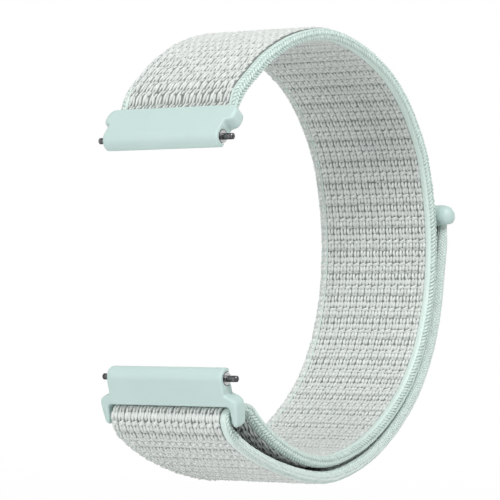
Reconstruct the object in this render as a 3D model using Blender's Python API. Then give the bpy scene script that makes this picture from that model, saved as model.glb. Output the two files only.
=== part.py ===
"""Hook and loop watch strap, closed into its ring, with two quick release spring bars.

X runs along the spring bars, Y from the watch towards the back of the wrist and Z up.
The origin is on the axis of the upper spring bar, halfway between the lugs.
"""
import math

import bmesh
import bpy
import numpy as np

# Watch side: the gap between the lugs, and where the lower spring bar lies
lug_width = 0.0200
bar_spacing = 0.0329
bar_setback = 0.0009

# Ring of the band, measured on the middle surface from the upper spring bar
ring_depth = 0.0515
crown_rise = 0.01545
heel_drop = 0.0121

# Woven band
band_width = 0.0207
edge_cord_width = 0.0014
edge_cord_thickness = 0.00184
loop_side_height = 0.00102
skin_side_height = 0.00088
tongue_thickness = 0.0010
layer_spacing = 0.00236
weave_gap = 0.0001
butt_gap = 0.0001
hinge_gap = 0.0003
taper_length = 0.0026
longest_step = 0.0021
largest_turn = math.radians(11)
crease_angle = math.radians(35)

# Hook tape at the free end, and the moulded bead that closes it
hook_thickness = 0.00045
hook_margin = 0.0010
hook_length = 0.0200
bead_radius = 0.00165
bead_length = 0.0224
bead_lift = 0.00085
bead_lift_length = 0.0100

# Adapters
barrel_radius = 0.00155
end_clearance = 0.0001
fixed_adapter_length = 0.00465
fixed_shoulder_wall = 0.00065
fixed_shoulder_start = 0.0019
fixed_adapter_tilt = math.radians(40)
fixed_rear_depth = 0.00085
pocket_depth = 0.0022
pocket_offset = 0.0004
pocket_clearance = 0.00015
post_radius = 0.0005
post_count = 3
post_pitch = 0.0060
loop_adapter_tilt = math.radians(15)
loop_arm_width = 0.00085
loop_adapter_length = 0.00640
loop_shoulder_start = 0.0022
loop_rear_depth = 0.00068
slot_start = 0.00365
slot_clearance = 0.0002
cross_bar_radius = 0.0006
cross_bar_place = 0.0058
cross_bar_offset = 0.0002
fold_clearance = 0.00015
shoulder_radius = 0.0010
shoulder_foot_radius = 0.0006
arm_end_radius = 0.0005
arm_taper = 0.0003
edge_radius = 0.0003
overrun = 0.0010

# Spring bars
bar_bore_radius = 0.00095
flange_radius = 0.0009
flange_thickness = 0.0004
tip_radius = 0.00044
tip_length = 0.00175
tip_chamfer = 0.0001
tube_radius = 0.00075
tube_bore_radius = 0.00057
shank_radius = 0.00050
bar_play = 0.0001
tip_travel = 0.0016
fixed_shank_length = 0.0066
plunger_shank_length = 0.0050
spring_wire_radius = 0.00009
spring_coil_radius = 0.00038
spring_turns = 9
knob_inset = 0.0040
knob_stem_radius = 0.00032
knob_head_radius = 0.00060
knob_head_height = 0.00060
knob_slot_width = 0.0009

# Places along the band, as shares of the ring's length, and of the tail's length
flex_share = 0.290
merge_share = 0.845
bead_share = 0.478
tail_root_share = 0.115
tail_bend_share = 0.640
tail_handle_shares = (0.13, 0.45)

# The ring's middle surface: depth as a share of ring_depth, and height as a share
# of crown_rise above the upper bar, of bar_spacing between the bars, and of
# heel_drop below the lower bar
crown_shares = ((0.080, 0.401), (0.148, 0.595), (0.217, 0.754), (0.338, 0.926), (0.485, 1.0),
                (0.629, 0.913), (0.769, 0.699), (0.866, 0.414), (0.946, 0.006))
back_shares = ((0.979, 0.161), (0.998, 0.350), (1.0, 0.471), (0.986, 0.666), (0.951, 0.848),
               (0.911, 0.967))
heel_shares = ((0.864, 0.182), (0.781, 0.504), (0.666, 0.802), (0.526, 0.983), (0.437, 1.0),
               (0.336, 0.909), (0.252, 0.760), (0.183, 0.587), (0.142, 0.446), (0.115, 0.355))

# Cross-section of an edge cord: place across its width and thickness, as shares
cord_profile_shares = ((0.0, 0.86), (0.30, 1.0), (0.64, 0.92), (0.88, 0.60), (1.0, 0.22))

# Colours as linear red, green and blue, with roughness and metallic value
MINT_PLASTIC = ("mint plastic", (0.60, 0.75, 0.72), 0.42, 0.0)
MINT_YARN = ("mint edge yarn", (0.57, 0.72, 0.67), 0.90, 0.0)
PALE_YARN = ("pale band yarn", (0.62, 0.65, 0.62), 0.95, 0.0)
HOOK_NYLON = ("hook nylon", (0.60, 0.70, 0.66), 0.70, 0.0)
STEEL = ("polished steel", (0.42, 0.41, 0.40), 0.25, 1.0)
SPRING_STEEL = ("spring steel", (0.35, 0.35, 0.36), 0.30, 1.0)


# Scene, materials and objects

def clear_scene():
    for old in list(bpy.data.objects):
        bpy.data.objects.remove(old, do_unlink=True)


def material(finish):
    name, colour, roughness, metallic = finish
    found = bpy.data.materials.get(name)
    if found:
        return found
    made = bpy.data.materials.new(name)
    made.use_nodes = True
    shader = made.node_tree.nodes["Principled BSDF"]
    shader.inputs["Base Color"].default_value = (*colour, 1.0)
    shader.inputs["Roughness"].default_value = roughness
    shader.inputs["Metallic"].default_value = metallic
    return made


def body_empty(name, place):
    """An empty on a body's joint axis, which carries that body's pieces."""
    empty = bpy.data.objects.new(name, None)
    empty.location = place
    bpy.context.collection.objects.link(empty)
    return empty


def add_object(name, points, faces, finish=None, body=None):
    """One mesh object from world points, moved onto the origin of its body."""
    origin = np.array(body.location) if body else np.zeros(3)
    mesh = bpy.data.meshes.new(name)
    mesh.from_pydata([tuple(np.array(p) - origin) for p in points], [], faces)
    mesh.validate()
    work = bmesh.new()
    work.from_mesh(mesh)
    bmesh.ops.recalc_face_normals(work, faces=work.faces)
    work.to_mesh(mesh)
    work.free()
    made = bpy.data.objects.new(name, mesh)
    bpy.context.collection.objects.link(made)
    if body:
        made.parent = body
    if finish:
        mesh.materials.append(material(finish))
    return made


def as_guide(made):
    made.hide_render = True
    made.display_type = "WIRE"
    return made


def boolean(target, tool, operation):
    step = target.modifiers.new(tool.name, "BOOLEAN")
    step.operation = operation
    step.solver = "EXACT"
    step.object = as_guide(tool)


def shade_round(made):
    made.data.shade_smooth()
    made.data.set_sharp_from_angle(angle=crease_angle)


# Outlines and simple solids

def arc(centre, radius, start, end, steps):
    """Points on an arc in a plane, angles in degrees, both ends included."""
    turns = np.radians(np.linspace(start, end, steps + 1))
    return [(centre[0] + radius * math.cos(t), centre[1] + radius * math.sin(t)) for t in turns]


def rounded(corners, radii, steps=3):
    """A closed outline with its corners rounded, less where two share a short side."""
    outline = []
    points = np.array(corners)
    back = np.roll(points, 1, axis=0) - points
    ahead = np.roll(points, -1, axis=0) - points
    sides = np.linalg.norm(ahead, axis=1)
    back = back / np.linalg.norm(back, axis=1)[:, None]
    ahead = ahead / sides[:, None]
    half = np.arccos(np.clip((back * ahead).sum(axis=1), -1, 1)) / 2
    reach = np.array(radii) / np.tan(half)
    asked = reach + np.roll(reach, -1)
    room = np.minimum(1, sides / np.where(asked > 0, asked, sides))
    reach = reach * np.minimum(room, np.roll(room, 1))
    for i, here in enumerate(points):
        if reach[i] == 0:
            outline.append(tuple(here))
            continue
        radius = reach[i] * math.tan(half[i])
        middle = back[i] + ahead[i]
        middle = middle / np.linalg.norm(middle) * radius / math.sin(half[i])
        first = back[i] * reach[i] - middle
        last = ahead[i] * reach[i] - middle
        for k in range(steps + 1):
            spoke = first * (steps - k) + last * k
            outline.append(tuple(here + middle + spoke / np.linalg.norm(spoke) * radius))
    return outline


def prism(name, near, far, **options):
    """A closed solid between two outlines of as many points."""
    count = len(near)
    sides = [(i, (i + 1) % count, count + (i + 1) % count, count + i) for i in range(count)]
    faces = sides + [tuple(range(count)), tuple(range(count, 2 * count))]
    return add_object(name, list(near) + list(far), faces, **options)


def turned(name, profile, axis_point, steps, **options):
    """A solid turned about a line along X, from a profile of place and radius."""
    points = []
    for x, radius in profile:
        for k in range(steps):
            turn = 2 * math.pi * k / steps
            points.append((x, axis_point[0] + radius * math.cos(turn),
                           axis_point[1] + radius * math.sin(turn)))
    faces = []
    for row in range(len(profile) - 1):
        for k in range(steps):
            after = (k + 1) % steps
            faces.append((row * steps + k, row * steps + after,
                          (row + 1) * steps + after, (row + 1) * steps + k))
    faces.append(tuple(range(steps)))
    faces.append(tuple(range((len(profile) - 1) * steps, len(profile) * steps)))
    made = add_object(name, points, faces, **options)
    shade_round(made)
    return made


class Pose:
    """Where an adapter stands: u runs from its bar to the band, n to its outer face."""

    def __init__(self, bar, along, outward, rear_depth):
        self.bar = np.array(bar)
        self.along = np.array(along)
        self.outward = np.array(outward)
        self.rear_depth = rear_depth

    def place(self, u, n):
        return self.bar + self.along * u + self.outward * n

    def outline(self, points, x):
        return [(x, *self.place(u, n)) for u, n in points]

    def face(self, points, n):
        return [(x, *self.place(u, n)) for x, u in points]


upper_pose = Pose((0, 0),
                  (math.sin(fixed_adapter_tilt), math.cos(fixed_adapter_tilt)),
                  (-math.cos(fixed_adapter_tilt), math.sin(fixed_adapter_tilt)),
                  fixed_rear_depth)
lower_pose = Pose((bar_setback, -bar_spacing),
                  (math.sin(loop_adapter_tilt), -math.cos(loop_adapter_tilt)),
                  (-math.cos(loop_adapter_tilt), -math.sin(loop_adapter_tilt)),
                  loop_rear_depth)


# The band's path: ring, fold through the loop adapter, and tail

def smooth_through(points, samples=24):
    """A centripetal Catmull-Rom curve through the points, as a dense polyline."""
    ends = [2 * points[0] - points[1]], [2 * points[-1] - points[-2]]
    knots = np.array(ends[0] + list(points) + ends[1])
    dense = []
    for i in range(1, len(knots) - 2):
        p = knots[i - 1:i + 3]
        t = np.concatenate([[0], np.cumsum(np.sqrt(np.linalg.norm(np.diff(p, axis=0), axis=1)))])
        for x in np.linspace(t[1], t[2], samples, endpoint=False):
            a = [((t[k + 1] - x) * p[k] + (x - t[k]) * p[k + 1]) / (t[k + 1] - t[k])
                 for k in range(3)]
            b = [((t[k + 2] - x) * a[k] + (x - t[k]) * a[k + 1]) / (t[k + 2] - t[k])
                 for k in range(2)]
            dense.append(((t[2] - x) * b[0] + (x - t[1]) * b[1]) / (t[2] - t[1]))
    dense.append(knots[-2])
    return np.array(dense)


def lengths_along(line):
    return np.concatenate([[0], np.cumsum(np.linalg.norm(np.diff(line, axis=0), axis=1))])


def normals_of(line):
    """Unit normals on the left of the line's travel: the band's loop side."""
    travel = np.gradient(line, axis=0)
    travel = travel / np.linalg.norm(travel, axis=1)[:, None]
    return np.stack([-travel[:, 1], travel[:, 0]], axis=1)


def ring_line():
    """From the tongue in the fixed adapter round to the loop adapter's slot."""
    points = [upper_pose.place(fixed_adapter_length - pocket_depth + pocket_clearance,
                               pocket_offset),
              upper_pose.place(fixed_adapter_length, pocket_offset)]
    points += [np.array((y * ring_depth, z * crown_rise)) for y, z in crown_shares]
    points += [np.array((y * ring_depth, -z * bar_spacing)) for y, z in back_shares]
    points += [np.array((y * ring_depth, -bar_spacing - z * heel_drop)) for y, z in heel_shares]
    points.append(lower_pose.place(fold_top, -loop_rear_depth - overrun))
    points.append(lower_pose.place(fold_top, cross_bar_offset))
    return smooth_through(points)


def tail_line(ring):
    """From the front of the fold, under the ring and up its back to the bead."""
    merge = ring_index(ring, merge_share)
    bead = ring_index(ring, bead_share)
    outer = ring + normals_of(ring) * layer_spacing
    follow = outer[bead:merge + 1][::-1]
    left = lengths_along(follow)[-1] - lengths_along(follow)
    rise = np.clip(1 - left / bead_lift_length, 0, 1)
    follow = follow + normals_of(ring)[bead:merge + 1][::-1] * (
        bead_lift * rise * rise * (3 - 2 * rise))[:, None]
    start = lower_pose.place(cross_bar_place, cross_bar_offset + fold_radius)
    reach = np.linalg.norm(follow[0] - start)
    travel = follow[1] - follow[0]
    travel = travel / np.linalg.norm(travel)
    handle_out = start + lower_pose.along * reach * tail_handle_shares[0]
    handle_in = follow[0] - travel * reach * tail_handle_shares[1]
    t = np.linspace(0, 1, 60, endpoint=False)[:, None]
    lead = ((1 - t) ** 3 * start + 3 * (1 - t) ** 2 * t * handle_out
            + 3 * (1 - t) * t ** 2 * handle_in + t ** 3 * follow[0])
    return np.concatenate([lead, follow])


def fold_line():
    """A quarter turn round the cross bar, from the slot to the front."""
    turn = np.radians(np.linspace(0, 90, 24))
    return np.array([lower_pose.place(cross_bar_place - fold_radius * math.cos(t),
                                      cross_bar_offset + fold_radius * math.sin(t))
                     for t in turn])


def ring_index(ring, share):
    run = lengths_along(ring)
    return int(np.searchsorted(run, share * run[-1]))


fold_radius = cross_bar_radius + fold_clearance + tongue_thickness / 2
fold_top = cross_bar_place - fold_radius
ring = ring_line()
fold = fold_line()
tail = tail_line(ring)
path = np.concatenate([ring, fold[1:], tail[1:]])
path_run = lengths_along(path)
path_normals = normals_of(path)
ring_length = lengths_along(ring)[-1]
fold_end = ring_length + lengths_along(fold)[-1]
band_end = path_run[-1]
tail_length = band_end - fold_end
flex_place = flex_share * ring_length
fold_start = ring_length - cross_bar_offset - loop_rear_depth - overrun
tail_root_place = fold_end + tail_root_share * tail_length
tail_bend_place = fold_end + tail_bend_share * tail_length
pocket_mouth = pocket_depth - pocket_clearance
socket_radius = max(loop_side_height, edge_cord_thickness / 2) + hinge_gap


def path_point(place):
    return np.array([np.interp(place, path_run, path[:, k]) for k in range(2)])


def path_frame(place):
    """Point, travel and loop side normal at a place along the band."""
    normal = np.array([np.interp(place, path_run, path_normals[:, k]) for k in range(2)])
    normal = normal / np.linalg.norm(normal)
    return path_point(place), np.array([normal[1], -normal[0]]), normal


def fullness(place):
    """From 0, pressed flat in an adapter or the bead, to 1, the open band."""
    near = min(abs(place - pocket_mouth) if place > pocket_mouth else 0,
               max(fold_start - place, place - fold_end, 0),
               max(band_end - bead_radius - place, 0))
    rise = min(near / taper_length, 1)
    return rise * rise * (3 - 2 * rise)


def thickness_at(place, full):
    """Half a thickness: that of the pressed tongue, or the full one given."""
    return tongue_thickness / 2 + fullness(place) * (full - tongue_thickness / 2)


def stations(start, end):
    """Places along the band, closer together where it bends."""
    places = [start]
    inside = (path_run > start) & (path_run < end)
    last_normal = path_frame(start)[2]
    for place, normal in zip(path_run[inside], path_normals[inside]):
        turned_by = math.acos(np.clip(last_normal @ normal, -1, 1))
        if place - places[-1] > longest_step or turned_by > largest_turn:
            places.append(place)
            last_normal = normal
    if len(places) > 1 and end - places[-1] < longest_step / 3:
        places.pop()
    places.append(end)
    return places


# Band solids

def end_arc(place, heights, kind, steps=6):
    """Points that close a band solid: flat, a round knuckle or its socket."""
    if kind == "flat":
        return []
    point, travel, normal = path_frame(place)
    up, down = heights
    points = []
    for k in range(1, steps):
        angle = math.pi * k / steps
        n = up * math.cos(angle) if angle < math.pi / 2 else down * math.cos(angle)
        size = up if angle < math.pi / 2 else down
        reach = math.sqrt(max(size * size - n * n, 0))
        if kind == "socket":
            reach = math.sqrt(socket_radius * socket_radius - n * n)
        points.append(point + travel * reach + normal * n)
    return points


def band_solid(name, places, ends, slices, finish, body):
    """A length of band: slices give X, and the heights over and under the middle."""
    loops = []
    for x, over, under in slices:
        upper = []
        lower = []
        for i, place in enumerate(places):
            up = over(place)
            down = under(place)
            top_place = place
            low_place = place
            if i == 0 and ends[0] == "socket":
                top_place = place + math.sqrt(socket_radius * socket_radius - up * up)
                low_place = place + math.sqrt(socket_radius * socket_radius - down * down)
            point, travel, normal = path_frame(top_place)
            upper.append(point + normal * up)
            point, travel, normal = path_frame(low_place)
            lower.append(point - normal * down)
        first = places[0]
        last = places[-1]
        head = end_arc(last, (over(last), under(last)), ends[1])
        foot = end_arc(first, (over(first), under(first)), ends[0])[::-1]
        loop = upper + head + lower[::-1] + foot
        loops.append([(x, *p) for p in loop])
    count = len(places)
    total = len(loops[0])
    head_count = len(head)
    points = [p for loop in loops for p in loop]
    faces = []
    for layer in range(len(loops) - 1):
        for k in range(total):
            after = (k + 1) % total
            faces.append((layer * total + k, layer * total + after,
                          (layer + 1) * total + after, (layer + 1) * total + k))
    for base in (0, (len(loops) - 1) * total):
        low = count + head_count
        first_cap = [0, 1, low + count - 2, low + count - 1]
        first_cap += list(range(low + count, total))
        faces.append(tuple(base + k for k in first_cap))
        for i in range(1, count - 1):
            faces.append((base + i, base + i + 1, base + low + count - 2 - i,
                          base + low + count - 1 - i))
        if head_count:
            faces.append(tuple(base + k for k in range(count - 1, low + 1)))
    made = add_object(name, points, faces, finish=finish, body=body)
    shade_round(made)
    return made


def band_piece(name, start, end, ends, body, hook=False):
    """The web and the two edge cords of one length of band."""
    places = stations(start, end)
    if ends[0] == "socket" and places[1] - places[0] < longest_step:
        places.pop(1)
    cord_half = edge_cord_thickness / 2
    web_half = band_width / 2 - edge_cord_width - weave_gap

    def loop_side(place):
        if hook:
            return tongue_thickness / 2
        return thickness_at(place, loop_side_height)

    def skin_side(place):
        return thickness_at(place, skin_side_height)

    slices = [(-web_half, loop_side, skin_side), (web_half, loop_side, skin_side)]
    web = band_solid(name + "_web", places, ends, slices, PALE_YARN, body)
    for side, word in ((-1, "left"), (1, "right")):
        slices = []
        for across, share in cord_profile_shares:
            x = side * (band_width / 2 - edge_cord_width + across * edge_cord_width)
            height = (lambda place, s=share: s * thickness_at(place, cord_half))
            slices.append((x, height, height))
        band_solid(f"{name}_{word}_edge", places, ends, slices, MINT_YARN, body)
    return web


# Adapters

def adapter_profile(length, rear, corner):
    """Side view: round about the bar, flat outside, and flat on the wrist side."""
    turn = math.degrees(math.asin(rear / barrel_radius))
    around = arc((0, 0), barrel_radius, 90, 180 + turn, 12)
    around += arc((length - corner, corner - rear), corner, -90, 0, 3)
    return around + arc((length - corner, barrel_radius - corner), corner, 0, 90, 3)


def adapter_block(name, pose, length, corner, front_outline, body):
    """The side profile and the front outline, each run through, and what they share."""
    half = max(x for x, u in front_outline) + overrun
    profile = adapter_profile(length, pose.rear_depth, corner)
    made = prism(name, pose.outline(profile, -half), pose.outline(profile, half),
                 finish=MINT_PLASTIC, body=body)
    depth = barrel_radius + overrun
    front = prism(name + "_front_guide", pose.face(front_outline, -depth),
                  pose.face(front_outline, depth), body=body)
    boolean(made, front, "INTERSECT")
    return made


def bar_bore(name, pose, body):
    reach = lug_width / 2 + overrun
    return turned(name, [(-reach, bar_bore_radius), (reach, bar_bore_radius)], pose.bar, 24,
                  body=body)


def fixed_adapter(body):
    half_body = lug_width / 2 - end_clearance
    half = band_width / 2 + fixed_shoulder_wall
    low = -barrel_radius - overrun
    outline = rounded([(-half_body, low), (half_body, low), (half_body, fixed_shoulder_start),
                       (half, fixed_shoulder_start), (half, fixed_adapter_length),
                       (-half, fixed_adapter_length), (-half, fixed_shoulder_start),
                       (-half_body, fixed_shoulder_start)],
                      [0, 0, edge_radius, shoulder_foot_radius, shoulder_radius,
                       shoulder_radius, shoulder_foot_radius, edge_radius])
    made = adapter_block("fixed_adapter", upper_pose, fixed_adapter_length, edge_radius,
                         outline, body)
    wide = band_width / 2 + pocket_clearance
    floor = fixed_adapter_length - pocket_depth
    over = pocket_offset + tongue_thickness / 2 + pocket_clearance
    under = pocket_offset - tongue_thickness / 2 - pocket_clearance
    mouth = fixed_adapter_length + overrun
    corners = [(floor, under), (mouth, under), (mouth, over), (floor, over)]
    pocket = prism("strap_pocket_guide", upper_pose.outline(corners, -wide),
                   upper_pose.outline(corners, wide), body=body)
    boolean(made, pocket, "DIFFERENCE")
    for i in range(post_count):
        x = (i - (post_count - 1) / 2) * post_pitch
        ring_points = arc((x, post_place()), post_radius, 0, 360, 12)[:-1]
        post = prism(f"post_{i + 1}_guide", upper_pose.face(ring_points, under - pocket_clearance),
                     upper_pose.face(ring_points, over + pocket_clearance), body=body)
        boolean(made, post, "UNION")
    boolean(made, bar_bore("upper_bore_guide", upper_pose, body), "DIFFERENCE")
    return made


def post_place():
    """Halfway down the pocket, where the moulding passes through the tongue."""
    return fixed_adapter_length - pocket_depth / 2


def pierce_tongue(web, body):
    """Holes in the tongue round the adapter's posts."""
    for i in range(post_count):
        x = (i - (post_count - 1) / 2) * post_pitch
        hole = arc((x, post_place()), post_radius + pocket_clearance, 0, 360, 12)[:-1]
        reach = tongue_thickness / 2 + pocket_clearance
        cutter = prism(f"tongue_hole_{i + 1}_guide",
                       upper_pose.face(hole, pocket_offset - reach),
                       upper_pose.face(hole, pocket_offset + reach), body=body)
        boolean(web, cutter, "DIFFERENCE")


def loop_adapter(body):
    half_body = lug_width / 2 - end_clearance
    inner = band_width / 2 + slot_clearance
    half = inner + loop_arm_width
    low = -barrel_radius - overrun
    outline = rounded([(-half_body, low), (half_body, low), (half_body, loop_shoulder_start),
                       (half, loop_shoulder_start), (half - arm_taper, loop_adapter_length),
                       (inner, loop_adapter_length), (inner, slot_start),
                       (-inner, slot_start), (-inner, loop_adapter_length),
                       (arm_taper - half, loop_adapter_length), (-half, loop_shoulder_start),
                       (-half_body, loop_shoulder_start)],
                      [0, 0, edge_radius, shoulder_radius, arm_end_radius, 0, edge_radius,
                       edge_radius, 0, arm_end_radius, shoulder_radius, edge_radius])
    made = adapter_block("loop_adapter", lower_pose, loop_adapter_length, arm_end_radius,
                         outline, body)
    seat = lower_pose.place(cross_bar_place, cross_bar_offset)
    middle = (half + inner) / 2
    cross_bar = turned("cross_bar_guide", [(-middle, cross_bar_radius), (middle, cross_bar_radius)],
                       seat, 16, body=body)
    boolean(made, cross_bar, "UNION")
    boolean(made, bar_bore("lower_bore_guide", lower_pose, body), "DIFFERENCE")
    return made


# Spring bars

def bar_tube(name, pose, body):
    """Steel tube, open along the knob's travel."""
    left = -lug_width / 2 + flange_thickness + bar_play
    right = lug_width / 2 - flange_thickness - tip_travel - bar_play
    made = turned(name, [(left, tube_radius), (right, tube_radius)], pose.bar, 20,
                  finish=STEEL, body=body)
    bore = turned(name + "_bore_guide", [(left - overrun, tube_bore_radius),
                                         (right + overrun, tube_bore_radius)],
                  pose.bar, 16, body=body)
    boolean(made, bore, "DIFFERENCE")
    near = knob_place() + knob_stem_radius + bar_play
    far = knob_place() - tip_travel - knob_stem_radius - bar_play
    half = knob_slot_width / 2
    corners = [(far, -half), (near, -half), (near, half), (far, half)]
    slot = prism(name + "_slot_guide", pose.face(corners, 0),
                 pose.face(corners, -tube_radius - overrun), body=body)
    boolean(made, slot, "DIFFERENCE")
    return made


def fixed_tip(name, pose, body):
    """Left end: tip, flange and the long shank pressed into the tube."""
    face = -lug_width / 2
    profile = [(face - tip_length, tip_radius - tip_chamfer),
               (face - tip_length + tip_chamfer, tip_radius), (face, tip_radius),
               (face, flange_radius), (face + flange_thickness, flange_radius),
               (face + flange_thickness, shank_radius),
               (face + flange_thickness + fixed_shank_length, shank_radius)]
    return turned(name, profile, pose.bar, 16, finish=STEEL, body=body)


def plunger(name, pose, body):
    """Right end: tip and flange on a shank that slides in the tube."""
    face = lug_width / 2
    profile = [(face - flange_thickness - plunger_shank_length, shank_radius),
               (face - flange_thickness, shank_radius),
               (face - flange_thickness, flange_radius), (face, flange_radius),
               (face, tip_radius), (face + tip_length - tip_chamfer, tip_radius),
               (face + tip_length, tip_radius - tip_chamfer)]
    return turned(name, profile, pose.bar, 16, finish=STEEL, body=body)


def knob_place():
    """Where the knob stands on the plunger's shank, along the bar."""
    return lug_width / 2 - knob_inset


def release_knob(name, pose, body):
    """Knob on the wrist side that draws the plunger in."""
    base = shank_radius + bar_play / 2
    low = max(pose.rear_depth, tube_radius) + bar_play
    profile = [(base, knob_stem_radius), (low, knob_stem_radius), (low, knob_head_radius),
               (low + knob_head_height - tip_chamfer, knob_head_radius),
               (low + knob_head_height, knob_head_radius - tip_chamfer)]
    steps = 12
    points = []
    for depth, radius in profile:
        for x, u in arc((knob_place(), 0), radius, 0, 360, steps)[:-1]:
            points.append((x, *pose.place(u, -depth)))
    faces = []
    for row in range(len(profile) - 1):
        for k in range(steps):
            after = (k + 1) % steps
            faces.append((row * steps + k, row * steps + after,
                          (row + 1) * steps + after, (row + 1) * steps + k))
    faces.append(tuple(range(steps)))
    faces.append(tuple(range((len(profile) - 1) * steps, len(profile) * steps)))
    made = add_object(name, points, faces, finish=STEEL, body=body)
    shade_round(made)
    return made


def bar_spring(name, pose, body):
    """The coil between the fixed shank and the plunger, as one wire."""
    left = -lug_width / 2 + flange_thickness + fixed_shank_length + bar_play
    right = lug_width / 2 - flange_thickness - plunger_shank_length - bar_play
    left += spring_wire_radius
    right -= spring_wire_radius
    per_turn = 10
    sides = 5
    points = []
    steps = spring_turns * per_turn
    for i in range(steps + 1):
        turn = 2 * math.pi * i / per_turn
        x = left + (right - left) * i / steps
        for k in range(sides):
            tilt = 2 * math.pi * k / sides
            radius = spring_coil_radius + spring_wire_radius * math.cos(tilt)
            points.append((x + spring_wire_radius * math.sin(tilt),
                           pose.bar[0] + radius * math.cos(turn),
                           pose.bar[1] + radius * math.sin(turn)))
    faces = []
    for i in range(steps):
        for k in range(sides):
            after = (k + 1) % sides
            faces.append((i * sides + k, i * sides + after,
                          (i + 1) * sides + after, (i + 1) * sides + k))
    faces.append(tuple(range(sides)))
    faces.append(tuple(range(steps * sides, (steps + 1) * sides)))
    made = add_object(name, points, faces, finish=SPRING_STEEL, body=body)
    shade_round(made)
    pitch = (right - left) / spring_turns
    print(f"{name}: least gap between turns {1000 * (pitch - 2 * spring_wire_radius):.2f} mm")
    return made


def spring_bar(prefix, pose, body, plunger_body):
    bar_tube(prefix + "_tube", pose, body)
    fixed_tip(prefix + "_fixed_tip", pose, body)
    bar_spring(prefix + "_spring", pose, body)
    plunger(prefix + "_plunger", pose, plunger_body)
    release_knob(prefix + "_release_knob", pose, plunger_body)


# Free end

def hook_patch(body):
    """Hook tape on the loop side of the tail's end, facing the ring."""
    half = band_width / 2 - edge_cord_width - hook_margin
    end = band_end - bead_radius - hook_margin
    places = stations(end - hook_length, end)
    floor = tongue_thickness / 2 + weave_gap
    points = []
    for x in (-half, half):
        for place in places:
            point, travel, normal = path_frame(place)
            points.append((x, *(point + normal * floor)))
        for place in places[::-1]:
            point, travel, normal = path_frame(place)
            points.append((x, *(point + normal * (floor + hook_thickness))))
    count = len(places)
    total = 2 * count
    faces = [(k, (k + 1) % total, total + (k + 1) % total, total + k) for k in range(total)]
    for base in (0, total):
        for i in range(count - 1):
            faces.append((base + i, base + i + 1, base + total - 2 - i, base + total - 1 - i))
    return add_object("hook_patch", points, faces, finish=HOOK_NYLON, body=body)


def end_bead(body):
    """Round moulded bead along the band's free end, with domed ends."""
    centre, travel, normal = path_frame(band_end)
    straight = bead_length / 2 - bead_radius
    steps = 6
    profile = []
    for k in range(1, steps + 1):
        angle = math.pi / 2 * k / steps
        profile.append((-straight - bead_radius * math.cos(angle), bead_radius * math.sin(angle)))
    profile += [(-x, radius) for x, radius in profile[::-1]]
    made = turned("end_bead", profile, centre, 20, finish=MINT_PLASTIC, body=body)
    wide = band_width / 2 + pocket_clearance
    thick = tongue_thickness / 2 + pocket_clearance
    corners = []
    for along, across in ((pocket_clearance, -thick), (pocket_clearance, thick),
                          (-bead_radius - overrun, thick), (-bead_radius - overrun, -thick)):
        corners.append(centre + travel * along + normal * across)
    pocket = prism("bead_pocket_guide", [(-wide, *p) for p in corners],
                   [(wide, *p) for p in corners], body=body)
    boolean(made, pocket, "DIFFERENCE")
    return made


# Assembly

def joint_place(place):
    point = path_point(place)
    return (0, point[0], point[1])


def build():
    clear_scene()
    cross_bar_axis = lower_pose.place(cross_bar_place, cross_bar_offset)
    root = body_empty("upper_end_frame", (0, 0, 0))
    upper_plunger = body_empty("upper_plunger_frame", (lug_width / 2, 0, 0))
    rear = body_empty("band_flex_frame", joint_place(flex_place))
    loop = body_empty("loop_adapter_frame", (0, *cross_bar_axis))
    lower_plunger = body_empty("lower_plunger_frame", (lug_width / 2, *lower_pose.bar))
    tail_middle = body_empty("tail_root_frame", joint_place(tail_root_place))
    tail_end = body_empty("tail_bend_frame", joint_place(tail_bend_place))

    fixed_adapter(root)
    spring_bar("upper_bar", upper_pose, root, upper_plunger)
    top_web = band_piece("band_top", 0, flex_place, ("flat", "knuckle"), root)
    pierce_tongue(top_web, root)

    band_piece("band_rear", flex_place, fold_start, ("socket", "flat"), rear)
    band_piece("band_fold", fold_start + butt_gap, tail_root_place, ("flat", "knuckle"), rear)
    loop_adapter(loop)
    spring_bar("lower_bar", lower_pose, loop, lower_plunger)

    band_piece("tail_middle", tail_root_place, tail_bend_place, ("socket", "knuckle"), tail_middle)
    band_piece("tail_end", tail_bend_place, band_end, ("socket", "flat"), tail_end, hook=True)
    hook_patch(tail_end)
    end_bead(tail_end)
    for word, place in (("band flex", flex_place), ("tail root", tail_root_place),
                        ("tail bend", tail_bend_place), ("bead", band_end)):
        point = path_point(place)
        print(f"{word} axis at Y {point[0]:.5f}, Z {point[1]:.5f}")
    print(f"cross bar axis at Y {cross_bar_axis[0]:.5f}, Z {cross_bar_axis[1]:.5f}")
    print(f"band length {1000 * band_end:.1f} mm")


build()
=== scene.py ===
"""Looks of the hook and loop watch strap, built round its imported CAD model.

X runs along the spring bars, Y from the watch towards the back of the wrist and Z up.
The fabric is made of real strands, laid out in the band's own coordinates: across the
band, along its path, and out from its middle surface.
"""

import math

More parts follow.
